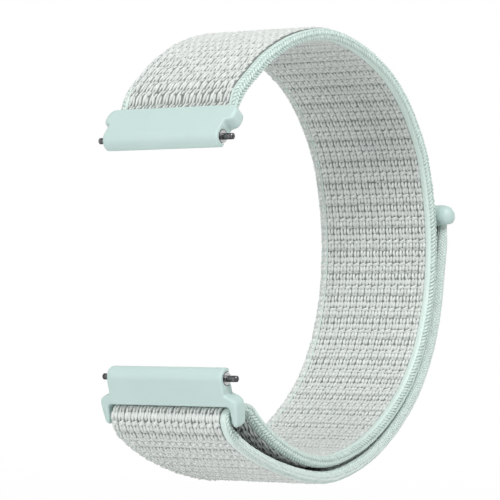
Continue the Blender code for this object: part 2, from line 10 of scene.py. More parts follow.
import bmesh
import bpy
import numpy as np
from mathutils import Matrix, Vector


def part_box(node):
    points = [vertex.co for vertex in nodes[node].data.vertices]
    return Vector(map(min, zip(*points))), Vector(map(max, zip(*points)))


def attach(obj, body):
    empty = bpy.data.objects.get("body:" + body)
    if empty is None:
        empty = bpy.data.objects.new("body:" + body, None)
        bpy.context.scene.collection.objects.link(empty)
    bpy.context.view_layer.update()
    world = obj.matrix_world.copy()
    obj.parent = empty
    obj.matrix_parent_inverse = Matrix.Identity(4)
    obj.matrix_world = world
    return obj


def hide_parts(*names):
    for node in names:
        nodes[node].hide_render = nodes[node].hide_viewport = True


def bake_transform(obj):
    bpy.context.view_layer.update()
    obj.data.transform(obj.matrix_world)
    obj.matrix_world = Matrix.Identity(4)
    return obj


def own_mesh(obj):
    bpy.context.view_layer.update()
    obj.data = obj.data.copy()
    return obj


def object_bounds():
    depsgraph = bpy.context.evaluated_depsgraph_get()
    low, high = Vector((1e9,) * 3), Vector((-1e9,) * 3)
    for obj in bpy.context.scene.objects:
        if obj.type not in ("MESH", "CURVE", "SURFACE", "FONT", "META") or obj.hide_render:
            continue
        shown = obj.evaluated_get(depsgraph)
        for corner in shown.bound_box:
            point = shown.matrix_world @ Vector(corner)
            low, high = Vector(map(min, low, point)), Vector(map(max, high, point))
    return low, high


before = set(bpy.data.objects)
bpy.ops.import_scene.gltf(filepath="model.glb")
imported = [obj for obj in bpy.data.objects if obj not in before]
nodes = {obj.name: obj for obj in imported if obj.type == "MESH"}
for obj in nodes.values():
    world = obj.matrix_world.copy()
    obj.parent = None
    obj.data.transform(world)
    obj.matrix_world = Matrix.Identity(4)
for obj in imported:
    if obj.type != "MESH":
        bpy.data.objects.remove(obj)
cad_low, cad_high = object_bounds()
mm = 0.001
chance = np.random.default_rng(7)

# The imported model's own sizes, repeated in metres, because the path isn't in the frame
bar_spacing = 0.0329
bar_setback = 0.0009
ring_depth = 0.0515
crown_rise = 0.01545
heel_drop = 0.0121
band_width = 0.0207
edge_cord_width = 0.0014
edge_cord_thickness = 0.00184
loop_side_height = 0.00102
skin_side_height = 0.00088
tongue_thickness = 0.0010
layer_spacing = 0.00236
taper_length = 0.0026
hook_margin = 0.0010
hook_length = 0.0200
bead_radius = 0.00165
bead_lift = 0.00085
bead_lift_length = 0.0100
fixed_adapter_length = 0.00465
fixed_adapter_tilt = math.radians(40)
pocket_depth = 0.0022
pocket_offset = 0.0004
pocket_clearance = 0.00015
loop_adapter_tilt = math.radians(15)
loop_rear_depth = 0.00068
cross_bar_radius = 0.0006
cross_bar_place = 0.0058
cross_bar_offset = 0.0002
fold_clearance = 0.00015
overrun = 0.0010
plunger_travel = 0.0016
flex_share = 0.290
merge_share = 0.845
bead_share = 0.478
tail_root_share = 0.115
tail_bend_share = 0.640
tail_handle_shares = (0.13, 0.45)
crown_shares = ((0.080, 0.401), (0.148, 0.595), (0.217, 0.754), (0.338, 0.926), (0.485, 1.0),
                (0.629, 0.913), (0.769, 0.699), (0.866, 0.414), (0.946, 0.006))
back_shares = ((0.979, 0.161), (0.998, 0.350), (1.0, 0.471), (0.986, 0.666), (0.951, 0.848),
               (0.911, 0.967))
heel_shares = ((0.864, 0.182), (0.781, 0.504), (0.666, 0.802), (0.526, 0.983), (0.437, 1.0),
               (0.336, 0.909), (0.252, 0.760), (0.183, 0.587), (0.142, 0.446), (0.115, 0.355))

# Fabric: the web between the cords, its warp columns, and its rows of skin and of loops
web_gap = 0.02 * mm
web_half = band_width / 2 - edge_cord_width - web_gap
rib_count = 15
rib_pitch = 2 * web_half / rib_count
row_pitch = 3.486 * mm
row_phase = 0.474 * mm
loop_pitch = 1.86 * mm
selvedge = 1.0 * mm

# How deep the strands' feet sit under the solids' faces, and where strands stand proud of them
skin_drop = 0.25 * mm
loop_drop = 0.34 * mm
least_drop = 0.4
fold_proud = 0.22 * mm
fold_proud_rise = 1.5 * mm
fold_proud_fall = 2.5 * mm
loop_proud = 0.28 * mm
loop_proud_start = 1.0 * mm
loop_proud_rise = 4.0 * mm
loop_proud_end = 2.0 * mm
loop_proud_fall = 6.0 * mm

# Where the loops stop before the hook tape, and the web gets thin for it
pile_end_gap = 1.5 * mm
tape_lead = 1.0 * mm

# Tones of the web under the strands, dark as painted shade in the gaps between them, and of the
# foot of a strand, darker as painted shade
web_gap_shade = 0.12
strand_foot_shade = 0.60


# Path of the band

class Pose:
    """Where an adapter stands: u runs from its bar to the band, n to its outer face."""

    def __init__(self, bar, along, outward):
        self.bar = np.array(bar)
        self.along = np.array(along)
        self.outward = np.array(outward)

    def place(self, u, n):
        return self.bar + self.along * u + self.outward * n


upper_pose = Pose((0, 0), (math.sin(fixed_adapter_tilt), math.cos(fixed_adapter_tilt)),
                  (-math.cos(fixed_adapter_tilt), math.sin(fixed_adapter_tilt)))
lower_pose = Pose((bar_setback, -bar_spacing),
                  (math.sin(loop_adapter_tilt), -math.cos(loop_adapter_tilt)),
                  (-math.cos(loop_adapter_tilt), -math.sin(loop_adapter_tilt)))


def smooth_through(points, samples=24):
    """A centripetal Catmull-Rom curve through the points, as a dense polyline."""
    ends = [2 * points[0] - points[1]], [2 * points[-1] - points[-2]]
    knots = np.array(ends[0] + list(points) + ends[1])
    dense = []
    for i in range(1, len(knots) - 2):
        p = knots[i - 1:i + 3]
        t = np.concatenate([[0], np.cumsum(np.sqrt(np.linalg.norm(np.diff(p, axis=0), axis=1)))])
        for x in np.linspace(t[1], t[2], samples, endpoint=False):
            a = [((t[k + 1] - x) * p[k] + (x - t[k]) * p[k + 1]) / (t[k + 1] - t[k])
                 for k in range(3)]
            b = [((t[k + 2] - x) * a[k] + (x - t[k]) * a[k + 1]) / (t[k + 2] - t[k])
                 for k in range(2)]
            dense.append(((t[2] - x) * b[0] + (x - t[1]) * b[1]) / (t[2] - t[1]))
    dense.append(knots[-2])
    return np.array(dense)


def lengths_along(line):
    return np.concatenate([[0], np.cumsum(np.linalg.norm(np.diff(line, axis=0), axis=1))])


def normals_of(line):
    """Unit normals on the left of the line's travel: the band's loop side."""
    travel = np.gradient(line, axis=0)
    travel = travel / np.linalg.norm(travel, axis=1)[:, None]
    return np.stack([-travel[:, 1], travel[:, 0]], axis=1)


def ring_line():
    points = [upper_pose.place(fixed_adapter_length - pocket_depth + pocket_clearance,
                               pocket_offset),
              upper_pose.place(fixed_adapter_length, pocket_offset)]
    points += [np.array((y * ring_depth, z * crown_rise)) for y, z in crown_shares]
    points += [np.array((y * ring_depth, -z * bar_spacing)) for y, z in back_shares]
    points += [np.array((y * ring_depth, -bar_spacing - z * heel_drop)) for y, z in heel_shares]
    points.append(lower_pose.place(fold_top, -loop_rear_depth - overrun))
    points.append(lower_pose.place(fold_top, cross_bar_offset))
    return smooth_through(points)


def ring_index(line, share):
    run = lengths_along(line)
    return int(np.searchsorted(run, share * run[-1]))


def tail_line(line):
    merge = ring_index(line, merge_share)
    bead = ring_index(line, bead_share)
    outer = line + normals_of(line) * layer_spacing
    follow = outer[bead:merge + 1][::-1]
    left = lengths_along(follow)[-1] - lengths_along(follow)
    rise = np.clip(1 - left / bead_lift_length, 0, 1)
    follow = follow + normals_of(line)[bead:merge + 1][::-1] * (
        bead_lift * rise * rise * (3 - 2 * rise))[:, None]
    start = lower_pose.place(cross_bar_place, cross_bar_offset + fold_radius)
    reach = np.linalg.norm(follow[0] - start)
    travel = follow[1] - follow[0]
    travel = travel / np.linalg.norm(travel)
    handle_out = start + lower_pose.along * reach * tail_handle_shares[0]
    handle_in = follow[0] - travel * reach * tail_handle_shares[1]
    t = np.linspace(0, 1, 60, endpoint=False)[:, None]
    lead = ((1 - t) ** 3 * start + 3 * (1 - t) ** 2 * t * handle_out
            + 3 * (1 - t) * t ** 2 * handle_in + t ** 3 * follow[0])
    return np.concatenate([lead, follow])


def fold_line():
    turn = np.radians(np.linspace(0, 90, 24))
    return np.array([lower_pose.place(cross_bar_place - fold_radius * math.cos(t),
                                      cross_bar_offset + fold_radius * math.sin(t))
                     for t in turn])


fold_radius = cross_bar_radius + fold_clearance + tongue_thickness / 2
fold_top = cross_bar_place - fold_radius
ring = ring_line()
fold = fold_line()
tail = tail_line(ring)
path = np.concatenate([ring, fold[1:], tail[1:]])
path_run = lengths_along(path)
path_normals = normals_of(path)
ring_length = lengths_along(ring)[-1]
fold_end = ring_length + lengths_along(fold)[-1]
band_end = path_run[-1]
tail_length = band_end - fold_end
flex_place = flex_share * ring_length
fold_start = ring_length - cross_bar_offset - loop_rear_depth - overrun
tail_root_place = fold_end + tail_root_share * tail_length
tail_bend_place = fold_end + tail_bend_share * tail_length
bead_place = bead_share * ring_length
pocket_mouth = pocket_depth - pocket_clearance
tape_end = band_end - bead_radius - hook_margin

# Where one length of the dressed band ends and the next begins
crown_split = 56 * mm
fold_skirt = 3.2 * mm
tail_lower_length = 30 * mm
rear_split = fold_end + fold_skirt
tail_split = fold_end + tail_lower_length


def on_path(x, s, n):
    """World points for places across, along and out from the band's middle surface."""
    x, s, n = np.broadcast_arrays(x, s, n)
    ny = np.interp(s, path_run, path_normals[:, 0])
    nz = np.interp(s, path_run, path_normals[:, 1])
    size = np.hypot(ny, nz)
    y = np.interp(s, path_run, path[:, 0]) + ny / size * n
    z = np.interp(s, path_run, path[:, 1]) + nz / size * n
    return np.stack([x, y, z], axis=-1)


def eased(t):
    t = np.clip(t, 0, 1)
    return t * t * (3 - 2 * t)


def fullness(s):
    """From 0, pressed flat in an adapter or the bead, to 1, the open band."""
    head = np.where(s > pocket_mouth, s - pocket_mouth, 0)
    middle = np.maximum(np.maximum(fold_start - s, s - fold_end), 0)
    foot = np.maximum(band_end - bead_radius - s, 0)
    return eased(np.minimum(np.minimum(head, middle), foot) / taper_length)


def half_thickness(s, full):
    return tongue_thickness / 2 + fullness(s) * (full - tongue_thickness / 2)


def loop_height(s):
    """The loop side stands proud where the tail doesn't lie on it."""
    hooked = s > tape_end - hook_length - tape_lead
    height = half_thickness(s, loop_side_height)
    open_ring = (eased((s - pocket_mouth - loop_proud_start) / loop_proud_rise)
                 * eased((bead_place - loop_proud_end - s) / loop_proud_fall))
    height = height + loop_proud * open_ring
    return np.where(hooked, tongue_thickness / 2, height)


def skin_height(s):
    """The skin side stands proud round the fold, so that it fills the slot."""
    folded = (eased((s - fold_start) / fold_proud_rise)
              * eased((rear_split - s) / fold_proud_fall))
    return half_thickness(s, skin_side_height) + fold_proud * folded


# Meshes

sharp_angle = math.radians(72)


def new_mesh(name, points, faces, smooth=True, tone=None, uv=None, lone=None):
    """One object from points and faces, which are arrays of quads and of triangles."""
    mesh = bpy.data.meshes.new(name)
    counts = np.concatenate([np.full(len(f), f.shape[1]) for f in faces])
    corners = np.concatenate([f.ravel() for f in faces])
    mesh.vertices.add(len(points))
    mesh.vertices.foreach_set("co", np.asarray(points, np.float32).ravel())
    mesh.loops.add(len(corners))
    mesh.loops.foreach_set("vertex_index", corners.astype(np.int32))
    mesh.polygons.add(len(counts))
    starts = np.concatenate([[0], np.cumsum(counts)[:-1]])
    mesh.polygons.foreach_set("loop_start", starts.astype(np.int32))
    mesh.polygons.foreach_set("use_smooth", np.full(len(counts), smooth))
    mesh.update(calc_edges=True)
    mesh.validate()
    if smooth:
        mesh.set_sharp_from_angle(angle=sharp_angle)
    for word, value in (("tone", tone), ("lone", lone)):
        if value is not None:
            layer = mesh.attributes.new(word, "FLOAT", "POINT")
            layer.data.foreach_set("value", np.asarray(value, np.float32).ravel())
    if uv is not None:
        layer = mesh.uv_layers.new(name="fibre")
        layer.data.foreach_set("uv", np.asarray(uv, np.float32)[corners].ravel())
    made = bpy.data.objects.new(name, mesh)
    bpy.context.scene.collection.objects.link(made)
    return made


def facing_out(points, quads, tris):
    """The faces, turned over if they enclose a negative volume."""
    def volume(faces):
        v = points[faces]
        return np.einsum("ij,ij->", v[:, 0], np.cross(v[:, 1], v[:, 2]))
    if volume(quads[:, [0, 1, 2]]) + volume(quads[:, [0, 2, 3]]) + volume(tris) < 0:
        return quads[:, ::-1], tris[:, ::-1]
    return quads, tris


def tube_quads(rings, sides):
    """Quads between rings of points, as a list."""
    return [(r * sides + k, r * sides + (k + 1) % sides,
             (r + 1) * sides + (k + 1) % sides, (r + 1) * sides + k)
            for r in range(rings - 1) for k in range(sides)]


# Half sections of a strand, in half widths and heights, and its rings, in half lengths
round_section = np.array([(-1.0, 0.0), (-0.64, 0.77), (0.0, 1.0), (0.64, 0.77), (1.0, 0.0)])
flat_section = np.array([(-1.0, 0.0), (-0.62, 0.95), (0.62, 0.95), (1.0, 0.0)])
ring_places = np.array([-0.72, -0.26, 0.26, 0.72])
pole_height = 0.12
fibre_offsets = 40


def strands(surface, a, s, length, width, height, tilt=0.0, bow=0.0, tone=1.0, taper=0.0,
            section=round_section):
    """Closed plump strands on a surface: arrays with one value each, or one for all."""
    a, s, length, width, height, tilt, bow, tone, taper = [
        np.asarray(v, float)[:, None, None]
        for v in np.broadcast_arrays(a, s, length, width, height, tilt, bow, tone, taper)]
    count = len(a)
    sides = len(section)
    t = ring_places[None, :, None]
    swell = np.sqrt(1 - t * t) * (1 + taper * t)
    along = np.broadcast_to(t * length / 2, (count, len(ring_places), sides))
    across = section[None, None, :, 0] * width / 2 * swell
    up = section[None, None, :, 1] * height * swell
    shift = bow * (1 - t * t)
    pole = np.array([-1.0, 1.0])[None, :, None]
    along = np.concatenate([along.reshape(count, -1), (pole * length / 2)[:, :, 0]], axis=1)
    across = np.concatenate([across.reshape(count, -1), np.zeros((count, 2))], axis=1)
    up = np.concatenate([up.reshape(count, -1),
                         np.broadcast_to(pole_height * height[:, :, 0], (count, 2))], axis=1)
    bend = np.broadcast_to(shift, (count, len(ring_places), sides)).reshape(count, -1)
    bend = np.concatenate([bend, np.zeros((count, 2))], axis=1)
    turn = tilt[:, :, 0]
    pa = a[:, :, 0] + along * np.sin(turn) + (across + bend) * np.cos(turn)
    ps = s[:, :, 0] + along * np.cos(turn) - (across + bend) * np.sin(turn)
    points = surface(pa, ps, up)
    rings = len(ring_places)
    low, high = rings * sides, rings * sides + 1
    tris = [((k + 1) % sides, k, low) for k in range(sides)]
    tris += [((rings - 1) * sides + k, (rings - 1) * sides + (k + 1) % sides, high)
             for k in range(sides)]
    quads, tris = facing_out(points[0], np.array(tube_quads(rings, sides)), np.array(tris))
    size = rings * sides + 2
    base = (np.arange(count) * size)[:, None, None]
    around = np.tile(np.linspace(0, 1, sides), rings)
    u = (along / mm) + chance.random((count, 1)) * fibre_offsets
    v = np.concatenate([np.broadcast_to(around, (count, rings * sides)),
                        np.full((count, 2), 0.5)], axis=1)
    tones = np.broadcast_to(tone[:, :, 0], (count, size))
    dip = np.clip(up / np.maximum(height[:, :, 0], 1e-9), 0, 1)
    # Painted shade and highlight: a strand's tone falls towards its foot and peaks along its crest
    tones = tones * (strand_foot_shade + (1 - strand_foot_shade) * dip * dip)
    lone = np.broadcast_to(chance.random((count, 1)), (count, size))
    return {"points": points.reshape(-1, 3),
            "faces": [(base + quads[None]).reshape(-1, 4), (base + tris[None]).reshape(-1, 3)],
            "tone": tones.ravel(), "lone": lone.ravel(),
            "uv": np.stack([u.ravel(), v.ravel()], axis=1)}


# How fibres run on a swept piece: per station, slant once round, and repeats once round
fibre_run = 1.5
fibre_slant = 9.0
fibre_turns = 4.0


def swept(sections, tone):
    """A closed tube through loops of points: an array of stations by points by three."""
    rows, sides = sections.shape[:2]
    grid = np.arange(rows * sides).reshape(rows, sides)
    after = np.roll(grid, -1, axis=1)
    quads = np.stack([grid[:-1], after[:-1], after[1:], grid[1:]], axis=-1).reshape(-1, 4)
    points = sections.reshape(-1, 3)
    caps = []
    centre = len(points)
    middles = sections[[0, -1]].mean(axis=1)
    for k in range(sides):
        j = (k + 1) % sides
        caps.append((grid[0, j], grid[0, k], centre))
        caps.append((grid[-1, k], grid[-1, j], centre + 1))
    points = np.concatenate([points, middles])
    quads, caps = facing_out(points, quads, np.array(caps))
    run, around = np.meshgrid(np.arange(rows) * fibre_run, np.linspace(0, 1, sides), indexing="ij")
    uv = np.stack([run + fibre_slant * around, fibre_turns * around], axis=-1).reshape(-1, 2)
    uv = np.concatenate([uv, uv[:2]])
    tones = np.broadcast_to(tone, (rows, sides)).ravel()
    tones = np.concatenate([tones, [tones[0], tones[-1]]])
    return {"points": points, "faces": [quads, caps], "tone": tones,
            "lone": np.full(len(points), 0.5), "uv": uv}


def joined(parts):
    """Several sets of mesh arrays as one."""
    start = 0
    quads, tris = [], []
    for p in parts:
        for f in p["faces"]:
            (quads if f.shape[1] == 4 else tris).append(f + start)
        start += len(p["points"])
    whole = {key: np.concatenate([p[key] for p in parts])
             for key in ("points", "tone", "lone", "uv")}
    whole["faces"] = [np.concatenate(quads), np.concatenate(tris)]
    return whole


def as_object(name, data, material):
    made = new_mesh(name, data["points"], data["faces"], tone=data["tone"], uv=data["uv"],
                    lone=data["lone"])
    made.data.materials.append(material)
    return made


# Materials

class Nodes:
    """A material's node tree with short calls for what it needs."""

    def __init__(self, name):
        self.material = bpy.data.materials.new(name)
        self.material.use_nodes = True
        self.tree = self.material.node_tree
        self.shader = self.tree.nodes["Principled BSDF"]

    def add(self, kind, **values):
        node = self.tree.nodes.new(kind)
        for key, value in values.items():
            setattr(node, key, value)
        return node

    def link(self, source, target):
        self.tree.links.new(source, target)

    def constant(self, **values):
        for key, value in values.items():
            self.shader.inputs[key.replace("_", " ")].default_value = value

    def noise(self, vector, scale, detail):
        node = self.add("ShaderNodeTexNoise")
        node.inputs["Scale"].default_value = scale
        node.inputs["Detail"].default_value = detail
        self.link(vector, node.inputs["Vector"])
        return node.outputs["Fac"]

    def stretched(self, vector, scale):
        node = self.add("ShaderNodeMapping")
        node.inputs["Scale"].default_value = scale
        self.link(vector, node.inputs["Vector"])
        return node.outputs["Vector"]

    def math(self, operation, *values):
        node = self.add("ShaderNodeMath", operation=operation)
        for socket, value in zip(node.inputs, values):
            self.put(socket, value)
        return node.outputs[0]

    def axis(self, vector, name):
        node = self.add("ShaderNodeSeparateXYZ")
        self.link(vector, node.inputs["Vector"])
        return node.outputs[name]

    def ramp(self, source, low, high, start=0.0, end=1.0):
        node = self.add("ShaderNodeValToRGB")
        node.color_ramp.elements[0].position = start
        node.color_ramp.elements[1].position = end
        node.color_ramp.elements[0].color = (*low, 1)
        node.color_ramp.elements[1].color = (*high, 1)
        self.link(source, node.inputs["Fac"])
        return node.outputs["Color"]

    def mapped(self, source, low, high, start=0.0, end=1.0):
        node = self.add("ShaderNodeMapRange")
        for key, value in (("From Min", start), ("From Max", end),
                           ("To Min", low), ("To Max", high)):
            node.inputs[key].default_value = value
        self.link(source, node.inputs["Value"])
        return node.outputs["Result"]

    def mixed(self, factor, a, b, mode="MIX"):
        node = self.add("ShaderNodeMix", data_type="RGBA", blend_type=mode)
        for socket, value in ((node.inputs["Factor"], factor), (node.inputs["A"], a),
                              (node.inputs["B"], b)):
            self.put(socket, value)
        return node.outputs["Result"]

    def dimmed(self, colour, share, source, low, start=0.0, end=1.0):
        """The colour times a grey that falls to low where the source does."""
        grey = self.ramp(source, (low,) * 3, (1.0,) * 3, start, end)
        return self.mixed(share, colour, grey, "MULTIPLY")

    def put(self, socket, value):
        if isinstance(value, bpy.types.NodeSocket):
            self.link(value, socket)
        elif isinstance(value, tuple):
            socket.default_value = (*value, 1)
        else:
            socket.default_value = value

    def colour_input(self):
        return self.shader.inputs["Base Color"]

    def bump(self, height, distance, strength):
        node = self.add("ShaderNodeBump")
        node.inputs["Distance"].default_value = distance
        node.inputs["Strength"].default_value = strength
        self.link(height, node.inputs["Height"])
        return node.outputs["Normal"]


# Plies of a yarn and their turns in each millimetre, and how deep the fine reliefs are
ply_count = 2
twist_rate = 0.55
filament_relief = 0.03 * mm
grain_relief = 0.01 * mm
tool_mark_relief = 0.004 * mm


def yarn(name, dark, light, roughness=(0.75, 0.95), sheen=0.25):
    """Spun yarn: filaments along each strand, uneven dye, and the strands' tones, which hold
    painted shade; flecks are painted glints of the filaments, and the ply and filament grooves have
    painted shade.
    """
    n = Nodes(name)
    tone = n.add("ShaderNodeAttribute", attribute_name="tone").outputs["Fac"]
    lone = n.add("ShaderNodeAttribute", attribute_name="lone").outputs["Fac"]
    uv = n.add("ShaderNodeUVMap", uv_map="fibre").outputs["UV"]
    place = n.add("ShaderNodeTexCoord").outputs["Object"]
    filament = n.noise(n.stretched(uv, (1.6, 14.0, 1.0)), 1.0, 3.0)
    glint_fleck = n.noise(n.stretched(uv, (2.3, 2.6, 1.0)), 1.0, 2.0)
    cloud = n.noise(place, 260.0, 3.0)
    around = n.math("MULTIPLY", n.axis(uv, "Y"), 2 * math.pi * ply_count)
    turns = n.math("MULTIPLY_ADD", n.axis(uv, "X"), 2 * math.pi * twist_rate, around)
    plies = n.math("SINE", turns)
    colour = n.mixed(tone, dark, light)
    colour = n.dimmed(colour, 0.35, lone, 0.80)
    # Painted highlight: bright flecks, as glints off the twisted filaments
    colour = n.dimmed(colour, 1.0, glint_fleck, 0.88, 0.34, 0.50)
    # Painted shade: dark lines in the grooves between the plies
    colour = n.dimmed(colour, 0.8, n.mapped(plies, 0.0, 1.0, -1.0, 1.0), 0.76, 0.0, 0.32)
    # Painted shade: darker streaks where the filament bump is low
    colour = n.dimmed(colour, 0.5, filament, 0.88, 0.3, 0.62)
    dyed = n.dimmed(colour, 0.35, cloud, 0.94, 0.35, 0.65)
    n.link(dyed, n.colour_input())
    n.link(n.mapped(filament, roughness[1], roughness[0], 0.3, 0.7), n.shader.inputs["Roughness"])
    n.link(n.bump(filament, filament_relief, 0.5), n.shader.inputs["Normal"])
    n.constant(Sheen_Weight=sheen, Sheen_Roughness=0.5, Specular_IOR_Level=0.5)
    return n.material


def moulded(name, colour, shade):
    """Matt moulded plastic with a fine grain and faint flow marks."""
    n = Nodes(name)
    place = n.add("ShaderNodeTexCoord").outputs["Object"]
    cloud = n.noise(place, 180.0, 4.0)
    grain = n.noise(place, 9000.0, 2.0)
    n.link(n.ramp(cloud, shade, colour, 0.35, 0.65), n.colour_input())
    n.link(n.mapped(cloud, 0.40, 0.50, 0.3, 0.7), n.shader.inputs["Roughness"])
    n.link(n.bump(grain, grain_relief, 0.25), n.shader.inputs["Normal"])
    n.constant(Specular_IOR_Level=0.4)
    return n.material


# From the bars' middle to where their flange faces, with their painted reflection, stop and their
# pins begin
flange_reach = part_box("upper_bar_plunger")[1][0] - plunger_travel
flange_blur = 0.2 * mm


def steel(name, dark, worn, face, roughness):
    """Turned steel: fine tool marks, dark sides with worn marks, and flange faces painted bright as
    a painted reflection.
    """
    n = Nodes(name)
    coords = n.add("ShaderNodeTexCoord")
    place = coords.outputs["Object"]
    marks = n.noise(n.stretched(place, (26000.0, 900.0, 900.0)), 1.0, 2.0)
    cloud = n.noise(place, 1500.0, 3.0)
    side = n.ramp(marks, dark, worn, 0.40, 0.75)
    flat = n.math("ABSOLUTE", n.axis(coords.outputs["Normal"], "X"))
    out = n.math("ABSOLUTE", n.axis(place, "X"))
    inside = n.mapped(out, 1.0, 0.0, flange_reach, flange_reach + flange_blur)
    # Painted reflection: faces that look along the bar, inside the flanges' reach, get the bright
    # face colour
    face_reflection_mask = n.math("MULTIPLY", n.mapped(flat, 0.0, 1.0, 0.80, 0.92), inside)
    n.link(n.dimmed(n.mixed(face_reflection_mask, side, face), 0.6, cloud, 0.75, 0.35, 0.65), n.colour_input())
    n.link(n.mapped(marks, roughness, roughness + 0.15, 0.3, 0.7), n.shader.inputs["Roughness"])
    n.link(n.bump(marks, tool_mark_relief, 0.4), n.shader.inputs["Normal"])
    n.constant(Metallic=1.0, Specular_Tint=(0.12, 0.12, 0.12, 1))
    return n.material


pale_yarn = yarn("pale_yarn_weave", (0.37, 0.415, 0.385), (0.965, 1.0, 0.972), (0.42, 0.62))
# Painted shade: the web's yarn is dark where it shows between the strands
gap_shade_yarn = yarn("gap_shade_weave", (0.17, 0.19, 0.18), (0.86, 0.90, 0.87))
mint_yarn = yarn("mint_edge_stitch", (0.16, 0.26, 0.235), (0.84, 1.0, 0.935), (0.42, 0.62))
tail_yarn = yarn("mint_tail_stitch", (0.36, 0.50, 0.46), (0.88, 1.0, 0.955), (0.42, 0.62))
mint_plastic = moulded("mint_moulding", (0.55, 0.695, 0.665), (0.53, 0.68, 0.65))
hook_nylon = yarn("hook_tape_nylon", (0.30, 0.40, 0.37), (0.66, 0.78, 0.74), (0.35, 0.55), 0.0)
# The last colour of each steel is the flange faces' painted reflection
bright_steel = steel("turned_steel", (0.045, 0.045, 0.047), (0.34, 0.34, 0.35),
                     (0.60, 0.60, 0.60), 0.20)
coil_steel = steel("coil_steel", (0.08, 0.08, 0.085), (0.45, 0.45, 0.46),
                   (0.45, 0.45, 0.46), 0.28)


# Surfaces that strands lie on

# Half of a cord's outline, from the web outwards: places across, and out from the middle surface
cord_outline = np.array([(0.0, -0.80), (0.35, -0.90), (0.72, -0.90), (1.03, -0.72), (1.22, -0.46),
                         (1.31, -0.16), (1.31, 0.16), (1.22, 0.46), (1.03, 0.72), (0.72, 0.90),
                         (0.35, 0.92), (0.0, 0.86)]) * mm
cord_skin_half = cord_outline[:6]
cord_run = lengths_along(cord_outline)
cord_out = -normals_of(cord_outline)
cord_core_inset = 0.10 * mm
lap_rise = 0.3 * mm
pile_fall = 0.45 * mm
pile_fall_start = 0.55 * mm
pile_fall_length = 0.8 * mm


def skin_surface(a, s, up):
    """The weave's foot; past the web it lies over the left cord."""
    foot = skin_height(s) - skin_drop
    past = -web_half - a
    cord_side = np.interp(past, cord_skin_half[:, 0], -cord_skin_half[:, 1]) - cord_core_inset
    over = eased(past / lap_rise) * np.maximum(cord_side - foot, 0) * fullness(s)
    return on_path(a, s, -(foot + over + up))


def loop_surface(a, s, up):
    """The pile's foot; past the web it follows the left cord down."""
    fall = pile_fall * eased((-web_half - pile_fall_start - a) / pile_fall_length)
    drop = loop_drop * np.clip(fullness(s) + least_drop, 0, 1)
    return on_path(a, s, loop_height(s) - drop + up - fall)


def cord_surface(side):
    def surface(a, s, up):
        a = np.clip(a, 0, cord_run[-1])
        thin = half_thickness(s, edge_cord_thickness / 2) / (edge_cord_thickness / 2)
        across = np.interp(a, cord_run, cord_outline[:, 0])
        n = np.interp(a, cord_run, cord_outline[:, 1]) * thin
        ox = np.interp(a, cord_run, cord_out[:, 0])
        on = np.interp(a, cord_run, cord_out[:, 1])
        size = np.hypot(ox, on)
        lift = up - cord_core_inset
        return on_path(side * (web_half + across + ox / size * lift), s, n + on / size * lift)
    return surface


# Band pieces

def stations(start, end, step):
    return np.linspace(start, end, max(int(round((end - start) / step)), 1) + 1)


def ground(start, end):
    """The woven ground under the strands: a slab with a rib for each warp column, given a dark tone
    as painted shade between the strands.
    """
    step = 0.55 * mm
    per_rib = 4
    below = 0.02 * mm
    rib_wave = 0.03 * mm
    s = stations(start, end, step)[:, None]
    across = np.linspace(-web_half, web_half, rib_count * per_rib + 1)[None, :]
    wave = rib_wave * np.cos(2 * math.pi * across / rib_pitch)
    drop = (loop_drop + below) * np.clip(fullness(s) + least_drop, 0, 1)
    up = loop_height(s) - drop + 0 * across
    down = -(skin_height(s) - skin_drop - below) + wave * fullness(s)
    top = on_path(across, s, up)
    low = on_path(across, s, down)
    loops = np.concatenate([top, low[:, ::-1]], axis=1)
    # Painted shade: the whole web gets the dark web tone
    return swept(loops, np.full(loops.shape[:2], web_gap_shade))


def each_of(rows, columns):
    """Every pairing of a row with a column, as two flat arrays."""
    return [v.ravel() for v in np.meshgrid(rows, columns, indexing="ij")]


def ribs():
    """Middles of the warp columns, and of one that only half shows beside the left cord."""
    return (np.arange(-1, rib_count) + 0.5) * rib_pitch - web_half


def skin_strands(start, end):
    """Rows of paired loops, crossed floats, short dashes and plain ribs, as knitted."""
    rows = np.arange(math.floor((start - row_phase) / row_pitch) - 1,
                     math.ceil((end - row_phase) / row_pitch) + 2)
    row, rib = each_of(row_phase + rows * row_pitch, ribs())
    kinds = [
        # offset across, along; length, width, height, tilt, bow, tone, section
        (-0.235, 0.06, 1.10, 0.41, 0.31, 0.13, -0.04, 1.00, round_section),
        (0.235, 0.04, 0.98, 0.41, 0.31, -0.16, 0.04, 1.00, round_section),
        (-0.295, 0.94, 1.06, 0.58, 0.17, 0.05, 0.0, 0.84, flat_section),
        (0.295, 0.94, 1.06, 0.58, 0.17, -0.05, 0.0, 0.80, flat_section),
        (-0.02, 0.76, 0.84, 0.22, 0.24, 0.36, 0.0, 0.90, round_section),
        (0.0, 1.72, 1.24, 0.56, 0.17, 1.57, 0.0, 0.84, flat_section),
        (0.0, 1.72, 1.26, 0.46, 0.29, -1.00, 0.0, 1.00, round_section),
        (-0.29, 2.36, 0.98, 0.56, 0.20, 0.0, 0.0, 0.86, flat_section),
        (0.29, 2.36, 0.98, 0.56, 0.20, 0.0, 0.0, 0.86, flat_section),
        (0.0, 2.90, 1.14, 0.44, 0.11, 1.57, 0.0, 0.52, flat_section),
    ]
    parts = []
    for across, along, length, width, height, tilt, bow, tone, section in kinds:
        s = row + along * mm
        keep = (s >= start) & (s < end) & (rib + across * mm > -web_half - selvedge)
        count = keep.sum()
        if not count:
            continue
        jitter = chance.normal(0, 1, (5, count))
        parts.append(strands(skin_surface, rib[keep] + across * mm + 0.02 * mm * jitter[0],
                             s[keep] + 0.04 * mm * jitter[1],
                             length * mm, width * mm * (1 + 0.05 * jitter[2]),
                             height * mm * (1 + 0.08 * jitter[3]), tilt + 0.06 * jitter[4],
                             bow * mm, tone, 0.0, section))
    return joined(parts)


